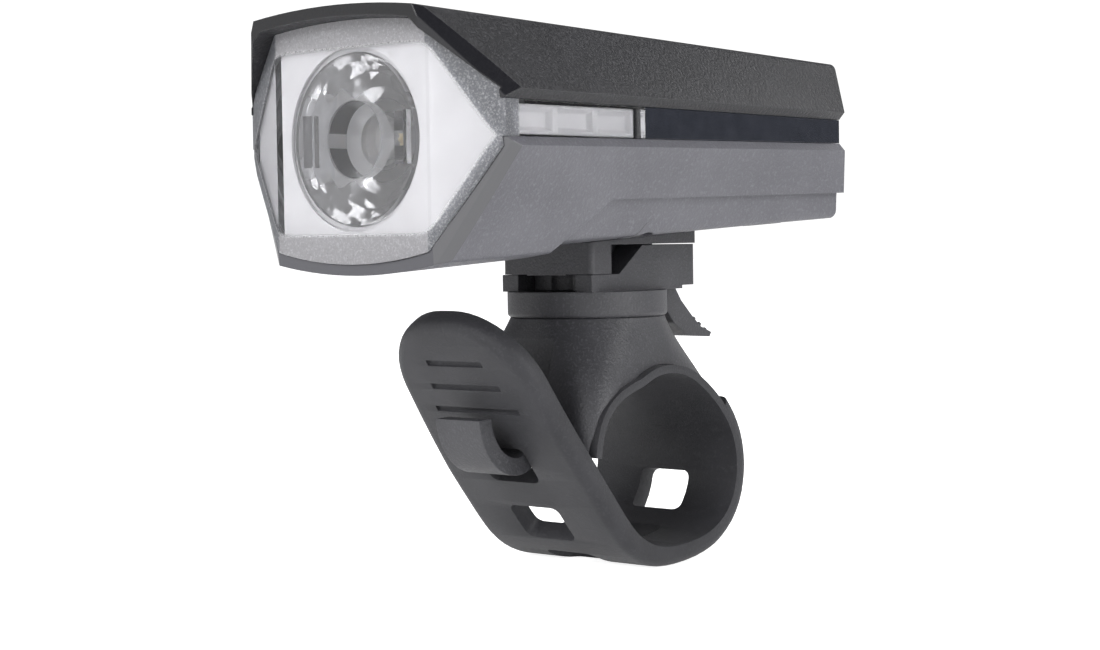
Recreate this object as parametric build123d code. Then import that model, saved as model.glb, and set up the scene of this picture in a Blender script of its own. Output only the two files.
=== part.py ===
from build123d import *
from math import atan2, cos, degrees, radians, sin
import os

# Bike headlight on a rubber strap mount.
# X runs along the handlebar, the beam points to -Y, Z is up.
# The origin is the centre of the handlebar bore. All lengths are in millimetres.

# Handlebar and strap
bar_radius = 12.7
strap_width = 27.7
strap_thickness = 3.0
strap_rim = 1.2
strap_bevel = 2.6
liner_thickness = 1.2
liner_arc = (54.0, 118.0)
slot_width = 9.4
slot_length = 6.6
slot_corner = 1.2
tail_length = 38.6
tail_rise_angle = 131.0
tail_turn = 10.0
tail_corner = 11.2
tail_tip_width = 24.8
tail_taper_length = 27.0
grip_rib_halves = (5.3, 6.6, 8.0)
grip_rib_width = 0.95
grip_rib_depth = 0.5
grip_rib_shares = (0.82, 0.715, 0.61)
bar_ease = 0.05

# Where the strap stands off the bar: angle round the bar, and standoff as a share of its radius
strap_start = 28.0
strap_flare = 15.0
strap_start_share = 0.08
liner_rear_shares = ((strap_start, strap_start_share), (40.0, 0.03))
liner_front_shares = (
    (127.0, 0.045),
    (137.0, 0.12),
    (147.0, 0.195),
    (156.0, 0.235),
    (165.0, 0.245),
    (175.5, 0.25),
)
loop_standoff_shares = (
    (strap_start, strap_start_share),
    (14.0, 0.165),
    (0.0, 0.235),
    (-14.0, 0.275),
    (-28.0, 0.275),
    (-42.0, 0.215),
    (-56.0, 0.125),
    (-70.0, 0.045),
    (-82.0, 0.01),
)
loop_slot_shares = ((-24.0, 0.25), (-63.0, 0.07), (-104.0, 0.0))
tail_slot_shares = (0.05, 0.35)
loop_steps = 8
top_angle = 90.0
under_angle = -90.0

# Head stations along the beam
front_station = -54.0
rear_face = 28.8
lip_front_top = -53.4
lip_rake = 0.107
lip_rake_level = 62.5
reach = (rear_face - front_station) * 2

# Upper housing section, at the front and at the rear
side_x = 25.3
window_x = 24.3
upper_corner_x = (15.7, 23.5)
upper_corner_z = (62.7, 58.4)
upper_crown = (1.0, 0.6)
upper_lip_z = (52.0, 51.0)
seam_top_z = (50.7, 49.9)
upper_wall = 1.9
corner_round = 1.3
visor_wall = 1.5
form_steps = 3
section_match = 0.001

# Lower housing section, at the front and at the rear
seam_bottom_z = (45.7, 46.3)
lower_lip_z = (44.5, 45.2)
lower_corner_x = (15.6, 24.8)
lower_corner_z = (29.5, 33.8)
lower_crown = (1.7, 0.6)
lower_wall = 2.5
recess_depth = 1.3
recess_start = (-22.5, 37.8)
recess_foot = (-30.6, 31.0)
recess_end_z = 38.9

# Visor cut
visor_corner = (15.9, -52.4, 62.5)
visor_side = (25.2, -44.6, 51.2)
visor_chin = (15.7, -48.9, 29.7)
visor_chin_side = (25.2, -44.6, 45.2)
visor_forward = 1.0
chin_forward = 0.4
visor_plan_angle = 34.5
bevel_plan_angle = 58.0

# Lens
lens_face = -50.3
lens_flat_half = 14.4
lens_facet = (22.1, -47.3)
lens_shoulder = -46.0
lens_thickness = 1.3
lens_back = -43.4
window_end = -18.0
window_thickness = 1.5
strip_flange = 1.3
strip_flange_overlap = 1.0
trim_gap = 0.05

# Optic and lamp
optic_z = 46.2
optic_radius = 11.45
optic_front = -48.9
optic_depth = 11.0
optic_rim = 1.0
optic_rear_radius = 5.6
optic_hole_radius = 5.2
optic_hole_depth = 3.6
led_hollow_radius = 3.6
led_hollow_depth = 5.2
optic_rear = optic_front + optic_depth
optic_curve_shares = ((0.16, 0.22), (0.4, 0.5), (0.72, 0.8), (1.0, 1.0))
optic_clip = (2.2, 7.0, 1.6)
optic_clip_x = 8.8
bezel_thickness = 1.4
bezel_bend = 14.2
bezel_half = 21.0
bezel_sweep = 2.6
bezel_rise = 13.4
bezel_point_rise = 2.6
bezel_round = 4.0
bezel_face = -48.2
bezel_wall = 0.8
bezel_gap = 0.15
led_board_radius = 9.0
led_board_thickness = 1.6
led_size = 3.5
led_thickness = 0.9
led_dome_radius = 1.5
sink_depth = 5.0
sink_half_x = 13.6
sink_z = (36.2, 56.2)
sink_fin = 1.6
sink_fin_pitch = 4.4
sink_fin_count = 6
sink_fin_depth = 2.6

# Battery, board and switch
board_side_gap = 1.5
board_edge = 3.0
board_front_gap = 6.7
board_rear_gap = 1.5
board_thickness = 1.6
board_z = 47.9
board_top = board_z + board_thickness
board_half = window_x - window_thickness - strip_flange - board_side_gap
board_front = optic_rear + led_board_thickness + sink_depth + board_front_gap
board_rear = rear_face - upper_wall - board_rear_gap
boss_x = board_half - board_edge
boss_radius = 2.9
boss_setback = 13.6
boss_rear_gap = 6.9
boss_ys = (board_front + boss_setback, board_rear - boss_rear_gap)
battery_gap = 0.6
battery_end_gap = 1.6
battery_rear_gap = 4.4
battery_half = boss_x - boss_radius - battery_gap
battery_front = board_front + battery_end_gap
battery_rear = board_rear - battery_rear_gap
battery_z = 36.7
battery_top_gap = 1.6
battery_top = board_z - battery_top_gap
battery_round = 1.6
rib_thickness = 1.4
rib_shares = (0.06, 0.62, 0.94)
screw_radius = 1.1
screw_head_radius = 2.0
screw_head_height = 1.4
screw_seat_z = 37.4
screw_length = 20.0
screw_ease = 0.12
screw_fit = 0.03
socket_size = (9.0, 7.4, 3.2)
socket_wall = 0.4
socket_z = board_top + socket_size[2] / 2
rear_plane = Plane(origin=(0, rear_face, socket_z), x_dir=(-1, 0, 0), z_dir=(0, 1, 0))
socket_tongue = (6.6, 5.0, 0.7)
cover_size = (15.0, 7.0)
cover_depth = 1.1
cover_corner = 1.8
cover_gap = 0.12
plug_size = (8.0, 2.0, 2.2)
button_setback = 8.6
button_y = board_front + button_setback
button_half_length = 6.2
button_radius = 3.6
button_gap = 0.15
button_flush = 0.25
button_flange = 1.0
switch_size = (6.0, 6.0, 2.4)
switch_knob = (1.6, 0.8)
button_air = 0.65

# Foot on the head
foot_half = 8.7
foot_front = -11.4
foot_block_rear = -6.35
foot_block_z = 27.35
foot_plate_z = 31.6
foot_rear = 13.4
foot_corner = 0.9
rail_half = 5.3
rail_z = (24.9, 27.2)
rail_front = -8.0
rail_rear = 4.4
stem_half = 3.8
stem_rear = 8.6
foot_screw_ys = (-8.4, 5.6)
foot_screw_seat = 29.4
foot_screw_length = 6.4
foot_boss_radius = 2.7
notch_y = (5.1, 7.1)
notch_depth = 0.9

# Release shoe
swivel_y = -2.3
disc_radius = 11.9
disc_z = (21.0, 24.8)
tooth_inner = 5.6
tooth_top = 27.3
wall_inner = 3.9
wall_top = 31.45
shoulder_low = -5.2
shoulder_high = 0.2
shoe_rear = 13.4
shoe_under = 25.3
roof_z = 29.7
shoe_corner = 1.6
disc_round = 0.6
catch_well_y = (4.9, 10.2)
catch_well_z = 23.6

# Release lever
pin_y = 11.2
pin_z = 27.2
pin_radius = 0.9
pin_cover = 1.2
pin_ease = 0.05
lever_half = 3.7
lever_boss = 2.0
lever_arm_z = (25.1, 27.1)
lever_arm_front = 5.3
lever_thumb_half = 4.2
lever_gap = 0.12
lever_back = ((13.2, 26.8), (13.6, 24.7), (15.0, 22.8), (17.6, 20.4), (19.8, 18.6), (22.5, 17.6))
lever_front = ((22.1, 16.9), (16.6, 17.3), (13.2, 19.4), (11.5, 21.3), (10.6, 23.4), (10.4, 24.8))

# Swivel screw
swivel_head_radius = 3.5
swivel_head_height = 1.7
swivel_shank_radius = 1.95
swivel_ease = 0.06
washer_radius = 3.7
washer_thickness = 0.5
hex_sides = 6
nut_across = 6.8
nut_thickness = 2.4
nut_z = 14.2
swivel_floor = 22.3

# Saddle
saddle_top_radius = 11.5
saddle_gap = 0.05

# Saddle sections below the swivel: level, half width, front, rear and corner radius
saddle_levels = (
    (17.4, 11.8, -14.8, 9.9, 9.0),
    (11.5, 12.9, -16.2, 11.9, 5.0),
    (2.0, 13.3, -17.95, 15.2, 3.0),
)
saddle_front_foot = 2.0
saddle_rear_foot = 7.6
liner_clear = 0.05
arch_half = 4.2
arch_depth = 1.6
arch_z = (9.0, 18.0)
hook_half = 4.2
hook_thickness = 2.5
hook_path = ((-17.2, 7.0), (-19.0, 2.7), (-21.7, 0.6), (-25.3, 1.0), (-28.3, 3.9), (-29.4, 7.5))


def between(pair, y):
    """Value of a tapering size at a place along the head."""
    share = (y - front_station) / (rear_face - front_station)
    return pair[0] + (pair[1] - pair[0]) * share


def head_plane(y):
    """Section plane of the head."""
    return Plane(origin=(0, y, 0), x_dir=(1, 0, 0), z_dir=(0, -1, 0))


def upper_section(y, inset, low=None):
    """Closed section of the upper housing, drawn inwards by an inset."""
    corner = (between(upper_corner_x, y) - inset, between(upper_corner_z, y) - inset)
    lip = (side_x - inset, between(upper_lip_z, y))
    base = (window_x, between(seam_top_z, y)) if low is None else (side_x - inset, low)
    crown = (0, corner[1] + between(upper_crown, y))
    return crowned_face(y, [base, lip, corner], crown)


def lower_section(y, inset, high=None):
    """Closed section of the lower housing, drawn inwards by an inset."""
    corner = (between(lower_corner_x, y) - inset, between(lower_corner_z, y) + inset)
    lip = (side_x - inset, between(lower_lip_z, y))
    base = (window_x, between(seam_bottom_z, y)) if high is None else (side_x - inset, high)
    crown = (0, corner[1] - between(lower_crown, y))
    return crowned_face(y, [base, lip, corner], crown)


def crowned_face(y, side, crown):
    """Face with straight sides and one crowned edge."""
    corner = side[-1]
    left = [(-x, z) for x, z in side]
    outline = Polyline(*left) + ThreePointArc(left[-1], crown, corner)
    outline += Polyline(*reversed(side)) + Line(side[0], left[0])
    face = make_face(outline)
    rounded = face.vertices().filter_by(lambda v: abs(abs(v.X) - corner[0]) < section_match)
    rounded = rounded.filter_by(lambda v: abs(v.Y - corner[1]) < section_match)
    return head_plane(y) * fillet(rounded, corner_round)


def stations(start, end):
    """Places of the sections that a form passes through."""
    return [start + (end - start) * index / form_steps for index in range(form_steps + 1)]


def upper_form(inset, start=front_station, end=rear_face, low=None):
    """Upper housing form between two stations."""
    return loft([upper_section(y, inset, low) for y in stations(start, end)])


def lower_form(inset, start=front_station, end=rear_face, high=None):
    """Lower housing form between two stations."""
    return loft([lower_section(y, inset, high) for y in stations(start, end)])


def block(x, y, z):
    """Box from three (low, high) pairs."""
    size = [abs(pair[1] - pair[0]) for pair in (x, y, z)]
    centre = [(pair[0] + pair[1]) / 2 for pair in (x, y, z)]
    return Pos(*centre) * Box(*size)


def rod(radius, x, y, z_low, z_high):
    """Upright cylinder."""
    return Pos(x, y, (z_low + z_high) / 2) * Cylinder(radius, z_high - z_low)


def side_prism(points, half):
    """Solid across X from an outline of (y, z) points."""
    plane = Plane(origin=(half, 0, 0), x_dir=(0, 1, 0), z_dir=(1, 0, 0))
    return extrude(plane * make_face(Polyline(*points, close=True)), -half * 2)


def beyond(point, normal):
    """Large block on the far side of a plane."""
    plane = Plane(origin=point, z_dir=normal)
    return plane * Pos(0, 0, reach / 2) * Box(reach, reach, reach)


def cross_normal(low, high, angle):
    """Normal of a plane through two points that faces out and forward."""
    a = sin(radians(angle))
    b = -cos(radians(angle))
    span = [h - l for l, h in zip(low, high)]
    return (a, b, -(a * span[0] + b * span[1]) / span[2])


def flip(point):
    """Mirror image of a point or direction across the middle."""
    return (-point[0], point[1], point[2])


def moved(point, forward):
    """Point moved forward along the beam."""
    return (point[0], point[1] - forward, point[2])


def visor_cut(form, corner, side, forward):
    """Cuts one housing half to the raked front, the swept sides and their bevels."""
    form -= beyond((0, lip_front_top, lip_rake_level), (0, -1, -lip_rake))
    face = cross_normal(corner, side, visor_plan_angle)
    bevel = cross_normal(corner, side, bevel_plan_angle)
    for turn in (lambda p: p, flip):
        form -= beyond(turn(moved(corner, forward)), turn(face))
        form -= beyond(turn(corner), turn(bevel))
    return form


def seam_slab(gap, start, end):
    """Space between the two housing halves."""
    faces = []
    for y in (start, end):
        top = between(seam_top_z, y) - gap
        bottom = between(seam_bottom_z, y) + gap
        outline = [(window_x, bottom), (window_x, top), (-window_x, top), (-window_x, bottom)]
        faces.append(head_plane(y) * make_face(Polyline(*outline, close=True)))
    return loft(faces, ruled=True)


def cover_outline(grow):
    """Rounded outline of the charging port cover on the rear wall."""
    return RectangleRounded(cover_size[0] + grow * 2, cover_size[1] + grow * 2, cover_corner + grow)


def stadium(grow):
    """Outline of the power button seen from above."""
    return SlotCenterToCenter((button_half_length - button_radius) * 2, (button_radius + grow) * 2)


def upper_housing():
    wall_front = rear_face - upper_wall
    body = upper_form(0)
    floor = between(seam_bottom_z, rear_face)
    hollow = upper_form(upper_wall, front_station - upper_wall, wall_front, floor)
    hollow += upper_form(visor_wall, front_station - upper_wall, lens_back, floor)
    body = visor_cut(body - hollow, visor_corner, visor_side, visor_forward)
    tongue_low = between(seam_bottom_z, rear_face) + trim_gap
    tongue_half = window_x - window_thickness - strip_flange - trim_gap
    body += block((-tongue_half, tongue_half), (wall_front, rear_face), (tongue_low, socket_z))
    bottom = board_top + trim_gap
    for x in (-boss_x, boss_x):
        for y in boss_ys:
            post = rod(boss_radius, x, y, bottom, between(upper_corner_z, y))
            body += post & upper_form(upper_wall / 2)
            body -= rod(screw_radius, x, y, bottom, screw_seat_z + screw_length + screw_ease)
    top = between(upper_corner_z, button_y) + upper_wall * 2
    body -= Pos(0, button_y, board_z) * extrude(Rot(0, 0, 90) * stadium(button_gap), top - board_z)
    body -= extrude(rear_plane * cover_outline(cover_gap), -cover_depth)
    opening = Rectangle(socket_size[0] + cover_gap * 2, socket_size[2] + cover_gap * 2)
    body -= extrude(rear_plane * opening, -upper_wall * 2)
    return body


def recess_prism():
    """Side outline of the stepped-in rear part of the lower housing."""
    under = recess_foot[1] - lower_wall * 2
    back = rear_face + lower_wall
    points = [recess_start, (back, recess_end_z), (back, under), (recess_foot[0], under), recess_foot]
    return side_prism(points, side_x * 2)


def lower_housing():
    wall_front = rear_face - lower_wall
    body = lower_form(0) - recess_prism()
    body += lower_form(recess_depth) & recess_prism()
    ceiling = between(seam_top_z, rear_face)
    hollow = lower_form(lower_wall, front_station - lower_wall, wall_front, ceiling)
    inside = lower_form(lower_wall / 2)
    hollow += lower_form(visor_wall, front_station - lower_wall, lens_back, ceiling)
    body = visor_cut(body - hollow, visor_chin, visor_chin_side, chin_forward)
    for x in (-boss_x, boss_x):
        for y in boss_ys:
            body += rod(boss_radius, x, y, between(lower_corner_z, y), screw_seat_z) & inside
            body += rod(boss_radius, x, y, screw_seat_z, board_z - trim_gap)
            body -= rod(screw_radius + screw_ease, x, y, screw_seat_z, board_z)
            low = between(lower_corner_z, y) - lower_wall
            body -= rod(screw_head_radius + screw_ease, x, y, low, screw_seat_z)
    low = lower_corner_z[0]
    for share in rib_shares:
        y = battery_front + (battery_rear - battery_front) * share
        body += block((-battery_half, battery_half), (y, y + rib_thickness), (low, battery_z)) & inside
    sink_front = optic_rear + led_board_thickness
    sink_y = (sink_front, sink_front + sink_depth)
    body += block((-sink_half_x, sink_half_x), sink_y, (low, sink_z[0])) & inside
    for y in foot_screw_ys:
        body += rod(foot_boss_radius, 0, y, between(lower_corner_z, y), battery_z - trim_gap) & inside
        body -= rod(screw_radius, 0, y, low, foot_screw_seat + foot_screw_length + screw_ease)
    return body


def lens_plan(inner):
    """Plan outline of the lens front, its facets and its swept shoulders."""
    t = lens_thickness if inner else 0
    side = window_x - (window_thickness if inner else 0)
    front = [(lens_flat_half - t / 3, lens_face + t), (lens_facet[0] - t / 2, lens_facet[1] + t)]
    return front + [(side, lens_shoulder + t / 2), (side, lens_back)]


def plan_prism(points, low, high):
    """Upright solid from a right-hand plan outline and its mirror image."""
    outline = [(-x, y) for x, y in points] + [(x, y) for x, y in reversed(points)]
    return Pos(0, 0, low) * extrude(make_face(Polyline(*outline, close=True)), high - low)


def inner_envelope(upper_inset, lower_inset, start, end):
    """Space inside both housing halves."""
    level = (seam_top_z[0] + seam_bottom_z[0]) / 2
    return upper_form(upper_inset, start, end, level) + lower_form(lower_inset, start, end, level)


def front_lens():
    low = lower_corner_z[0]
    high = upper_corner_z[0] + upper_crown[0]
    shell = plan_prism(lens_plan(False), low, high)
    hollow = plan_prism(lens_plan(True) + [(window_x - window_thickness, 0)], low, high)
    shell -= hollow
    slab = seam_slab(trim_gap, front_station, window_end)
    inset = visor_wall + trim_gap
    space = inner_envelope(inset, inset, front_station, lens_back)
    lens = shell & (space + (slab & beyond((0, lens_back, 0), (0, -1, 0))))
    side = window_x - window_thickness
    for sign in (-1, 1):
        x = (sign * side, sign * window_x)
        lens += block(x, (lens_back - lens_thickness, window_end), (low, high)) & slab
    return lens


def side_strip(sign):
    slab = seam_slab(trim_gap, window_end, rear_face)
    x_out = (sign * (window_x - window_thickness), sign * window_x)
    rear = rear_face - trim_gap
    strip = block(x_out, (window_end + trim_gap, rear), (lower_corner_z[0], upper_corner_z[0])) & slab
    flange_in = window_x - window_thickness - strip_flange
    flange_x = (sign * flange_in, sign * (window_x - window_thickness))
    low = lower_lip_z[1] + strip_flange_overlap
    high = upper_lip_z[1] - strip_flange_overlap
    strip += block(flange_x, (window_end + trim_gap, rear_face - lower_wall - trim_gap), (low, high))
    return strip


def turned(points):
    """Solid of revolution about the beam axis from (radius, y) points."""
    face = make_face(Polyline(*points, close=True))
    return Pos(0, 0, optic_z) * revolve(face, Axis.Y)


def bezel_outline():
    """Front outline of the bezel: blunt points at the sides, rounded corners above and below."""
    high = optic_z + bezel_rise
    low = optic_z - bezel_rise
    point = [(bezel_half, optic_z + bezel_point_rise), (bezel_half, optic_z - bezel_point_rise)]
    right = [(bezel_bend, high), *point, (bezel_bend, low)]
    left = [(-x, z) for x, z in reversed(right)]
    face = make_face(Polyline(*right, *left, close=True))
    corners = face.vertices().filter_by(lambda v: abs(abs(v.X) - bezel_bend) < section_match)
    return fillet(corners, bezel_round)


def optic_bezel():
    front = [(bezel_bend, bezel_face), (bezel_half, bezel_face + bezel_sweep)]
    rear = [(x, y + bezel_thickness) for x, y in reversed(front)]
    plate = plan_prism(front + rear, lower_corner_z[0], upper_corner_z[0])
    plate &= inner_envelope(upper_wall + bezel_gap, lower_wall + bezel_gap, bezel_face, optic_rear)
    plate &= head_plane(front_station) * extrude(bezel_outline(), front_station - optic_rear)
    tube_inner = optic_radius + bezel_gap
    tube = [(tube_inner, bezel_face), (tube_inner + bezel_wall, bezel_face)]
    back = optic_rear + led_board_thickness
    tube += [(tube_inner + bezel_wall, back), (tube_inner, back)]
    hole = [(0, bezel_face - bezel_thickness), (tube_inner, bezel_face - bezel_thickness)]
    hole += [(tube_inner, back), (0, back)]
    return plate - turned(hole) + turned(tube)


def collimator_optic():
    floor = optic_front + optic_hole_depth
    points = [(0, floor), (optic_hole_radius, floor)]
    points += [(optic_hole_radius, optic_front), (optic_radius, optic_front)]
    points += [(optic_radius, optic_front + optic_rim)]
    for across, along in optic_curve_shares:
        radius = optic_radius - (optic_radius - optic_rear_radius) * across
        points.append((radius, optic_front + optic_rim + (optic_depth - optic_rim) * along))
    points += [(led_hollow_radius, optic_rear), (led_hollow_radius, optic_rear - led_hollow_depth)]
    points += [(0, optic_rear - led_hollow_depth)]
    optic = turned(points)
    width, height, depth = optic_clip
    for x in (-optic_clip_x, optic_clip_x):
        clip = Pos(x, optic_front + depth / 2, optic_z) * Box(width, depth, height)
        optic -= clip
    return optic


def led_board():
    points = [(0, optic_rear), (led_board_radius, optic_rear)]
    points += [(led_board_radius, optic_rear + led_board_thickness), (0, optic_rear + led_board_thickness)]
    return turned(points)


def led_emitter():
    half = led_size / 2
    front = optic_rear - led_thickness
    z = (optic_z - half, optic_z + half)
    dome = Pos(0, front, optic_z) * Sphere(led_dome_radius)
    dome -= block((-half, half), (front, optic_rear + led_size), z)
    return dome + block((-half, half), (front, optic_rear), z)


def heat_sink():
    front = optic_rear + led_board_thickness
    rear = front + sink_depth
    sink = block((-sink_half_x, sink_half_x), (front, rear), (sink_z[0], sink_z[1]))
    sink &= inner_envelope(upper_wall + bezel_gap, lower_wall + bezel_gap, front, rear)
    for index in range(sink_fin_count):
        x = (index - (sink_fin_count - 1) / 2) * sink_fin_pitch
        gap = (sink_fin_pitch - sink_fin) / 2
        sink -= block((x - gap, x + gap), (rear - sink_fin_depth, rear), (sink_z[0], sink_z[1]))
    return sink


def battery_pack():
    pack = block((-battery_half, battery_half), (battery_front, battery_rear), (battery_z, battery_top))
    return fillet(pack.edges().filter_by(Axis.Y), battery_round)


def main_board():
    board = block((-board_half, board_half), (board_front, board_rear), (board_z, board_top))
    for x in (-boss_x, boss_x):
        for y in boss_ys:
            board -= rod(screw_radius + screw_ease, x, y, board_z, board_top)
    return board


def button_switch():
    base = board_top
    top = base + switch_size[2]
    half = switch_size[0] / 2
    body = block((-half, half), (button_y - half, button_y + half), (base, top))
    return body + rod(switch_knob[0], 0, button_y, top, top + switch_knob[1])


def power_button():
    base = board_top + switch_size[2] + switch_knob[1] + button_air
    top = between(upper_corner_z, button_y) + upper_wall
    key = Pos(0, button_y, base) * extrude(Rot(0, 0, 90) * stadium(0), top - base)
    key &= upper_form(button_flush)
    ceiling = between(upper_corner_z, button_y + button_half_length) - upper_wall - button_gap
    flange = Pos(0, button_y, base) * extrude(Rot(0, 0, 90) * stadium(button_flange), ceiling - base)
    return key + flange


def usb_socket():
    half = socket_size[0] / 2
    rear = rear_face - cover_depth - plug_size[1] / 2
    front = rear - socket_size[1]
    low = board_top
    high = low + socket_size[2]
    wall = socket_wall
    body = block((-half, half), (front, rear), (low, high))
    body -= block((-half + wall, half - wall), (front + wall, rear), (low + wall, high - wall))
    width, length, height = socket_tongue
    return body + Pos(0, front + length / 2, socket_z) * Box(width, length, height)


def usb_cover():
    flap = extrude(rear_plane * cover_outline(0), -(cover_depth - cover_gap))
    rear = rear_face - cover_depth + cover_gap
    half = plug_size[0] / 2
    z = plug_size[2] / 2
    plug = block((-half, half), (rear - plug_size[1] / 2, rear), (socket_z - z, socket_z + z))
    return flap + plug


def fastener(x, y, seat, length):
    """Pan-head screw pointing up."""
    head = rod(screw_head_radius, x, y, seat - screw_head_height, seat)
    drive = rod(screw_radius / 2, x, y, seat - screw_head_height, seat - screw_head_height / 2)
    return head + rod(screw_radius - screw_fit, x, y, seat, seat + length) - drive


def housing_screws():
    places = [(x, y) for x in (-boss_x, boss_x) for y in boss_ys]
    return Compound(children=[fastener(x, y, screw_seat_z, screw_length) for x, y in places])


def foot_screws():
    return Compound(children=[fastener(0, y, foot_screw_seat, foot_screw_length) for y in foot_screw_ys])


def foot_rail():
    top = lower_corner_z[1]
    plate = block((-foot_half, foot_half), (foot_front, foot_rear), (foot_plate_z, top + recess_depth))
    nose = block((-foot_half, foot_half), (foot_front, foot_block_rear), (foot_block_z, foot_plate_z))
    foot = fillet(plate.edges().filter_by(Axis.Z), foot_corner)
    foot += fillet(nose.edges().filter_by(Axis.Z), foot_corner)
    foot += block((-stem_half, stem_half), (foot_front, stem_rear), (rail_z[1], foot_plate_z))
    foot += block((-rail_half, rail_half), (rail_front, rail_rear), (rail_z[0], rail_z[1]))
    foot += block((-stem_half, stem_half), (foot_front, rail_rear), (rail_z[1], foot_block_z))
    foot -= lower_form(recess_depth - trim_gap * 2, front_station, rear_face, seam_bottom_z[0])
    foot -= block((-stem_half, stem_half), notch_y, (rail_z[1], rail_z[1] + notch_depth))
    for y in foot_screw_ys:
        foot -= rod(screw_head_radius + screw_ease, 0, y, rail_z[0], foot_screw_seat)
        foot -= rod(screw_radius + screw_ease, 0, y, foot_screw_seat, top + recess_depth)
    return foot


def release_shoe():
    disc = rod(disc_radius, 0, swivel_y, disc_z[0], disc_z[1])
    disc = fillet(disc.edges().filter_by(GeomType.CIRCLE).group_by(Axis.Z)[0], disc_round)
    side = [(foot_front, disc_z[1]), (foot_front, tooth_top), (shoulder_low, tooth_top)]
    side += [(shoulder_high, wall_top), (shoe_rear, wall_top), (shoe_rear, shoe_under)]
    side += [(swivel_y + disc_radius, shoe_under), (swivel_y + disc_radius, disc_z[1])]
    shoe = side_prism(side, foot_half)
    upright = shoe.edges().filter_by(Axis.Z).sort_by(Axis.Y)[-2:]
    shoe = fillet(upright, shoe_corner)
    shoe -= block((-tooth_inner, tooth_inner), (foot_front, pin_y + lever_boss), (disc_z[1], tooth_top))
    shoe -= block((-wall_inner, wall_inner), (foot_front, stem_rear + lever_gap), (tooth_top, wall_top))
    shoe -= block((-wall_inner, wall_inner), (foot_front, shoe_rear), (disc_z[1], roof_z))
    shoe += disc
    shoe -= block((-wall_inner, wall_inner), catch_well_y, (catch_well_z, disc_z[1]))
    shoe -= rod(swivel_head_radius + swivel_ease * 3, 0, swivel_y, swivel_floor, disc_z[1])
    shoe -= rod(washer_radius + swivel_ease, 0, swivel_y, swivel_floor, swivel_floor + washer_thickness)
    shoe -= rod(swivel_shank_radius + swivel_ease, 0, swivel_y, disc_z[0], swivel_floor)
    return shoe - pin_bar(pin_radius + pin_ease)


def pin_bar(radius):
    """Round bar across X at the lever pivot, open on the left and blind on the right."""
    return Pos(-pin_cover / 2, pin_y, pin_z) * Rot(0, top_angle, 0) * Cylinder(radius, foot_half * 2 - pin_cover)


def lever_pin():
    return pin_bar(pin_radius)


def release_lever():
    lever = side_prism(lever_back[1:] + lever_front, lever_thumb_half)
    lever -= block((-foot_half, foot_half), (0, shoe_rear + lever_gap), (shoe_under - lever_gap, wall_top))
    neck = [(pin_y - lever_boss, lever_arm_z[0]), (pin_y - lever_boss, pin_z)]
    neck += [*lever_back[:3], *lever_front[4:]]
    lever += side_prism(neck, lever_half)
    lever += Pos(0, pin_y, pin_z) * Rot(0, top_angle, 0) * Cylinder(lever_boss, lever_half * 2)
    lever += block((-lever_half, lever_half), (lever_arm_front, pin_y), lever_arm_z)
    return lever - pin_bar(pin_radius + pin_ease)


def swivel_screw():
    seat = swivel_floor + washer_thickness
    top = seat + swivel_head_height
    head = rod(swivel_head_radius, 0, swivel_y, seat, top)
    shank = rod(swivel_shank_radius, 0, swivel_y, nut_z, seat)
    socket = Pos(0, swivel_y, top) * RegularPolygon(swivel_shank_radius, hex_sides)
    return head + shank - extrude(socket, -swivel_head_height / 2)


def swivel_washer():
    top = swivel_floor + washer_thickness
    ring = rod(washer_radius, 0, swivel_y, swivel_floor, top)
    return ring - rod(swivel_shank_radius + swivel_ease, 0, swivel_y, swivel_floor, top)


def hexagon(across):
    """Hexagon from its width across the flats."""
    return RegularPolygon(across / 2, hex_sides, major_radius=False)


def swivel_nut():
    nut = Pos(0, swivel_y, nut_z) * extrude(hexagon(nut_across), nut_thickness)
    return nut - rod(swivel_shank_radius + swivel_ease, 0, swivel_y, nut_z, nut_z + nut_thickness)


def polar(radius, angle):
    """Point (y, z) on a circle round the bar."""
    return (radius * cos(radians(angle)), radius * sin(radians(angle)))


def loop_line():
    """Inner line of the strap behind the bar, in the YZ plane."""
    points = [polar(bar_radius * (1 + share), angle) for angle, share in loop_standoff_shares]
    points.append(polar(bar_radius + bar_ease, under_angle))
    plane = Plane(origin=(0, 0, 0), x_dir=(0, 1, 0), z_dir=(1, 0, 0))
    ends = (polar(1, strap_start + strap_flare - top_angle), (-1, 0))
    return Wire((plane * Spline(*points, tangents=ends)).edges())


def tail_angle(share):
    """Direction of the tail at a share of its length."""
    return tail_rise_angle - tail_turn * share


def tail_centre():
    """Centre of the shallow curve of the tail."""
    foot = polar(bar_radius + bar_ease, tail_rise_angle + top_angle)
    away = polar(tail_length / radians(tail_turn), tail_rise_angle + top_angle)
    return [a - b for a, b in zip(foot, away)]


def tail_point(share):
    """Point on the inner face of the tail at a share of its length."""
    away = polar(tail_length / radians(tail_turn), tail_angle(share) + top_angle)
    return tuple(a + b for a, b in zip(tail_centre(), away))


def surface_plane(point, outward):
    """Plane on the strap's inner face: X along the bar, Z outwards."""
    return Plane(origin=(0, *point), x_dir=(1, 0, 0), z_dir=(0, *polar(1, outward)))


def strap_section(point, outward):
    """Cross-section of the strap, square to its path, with bevelled outer edges."""
    half = strap_width / 2
    outline = [(-half, 0), (-half, strap_rim), (-half + strap_bevel, strap_thickness)]
    outline += [(half - strap_bevel, strap_thickness), (half, strap_rim), (half, 0)]
    plane = surface_plane(point, outward)
    section = Plane(origin=plane.origin, x_dir=plane.x_dir, z_dir=-plane.y_dir)
    return section * make_face(Polyline(*outline, close=True))


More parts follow.
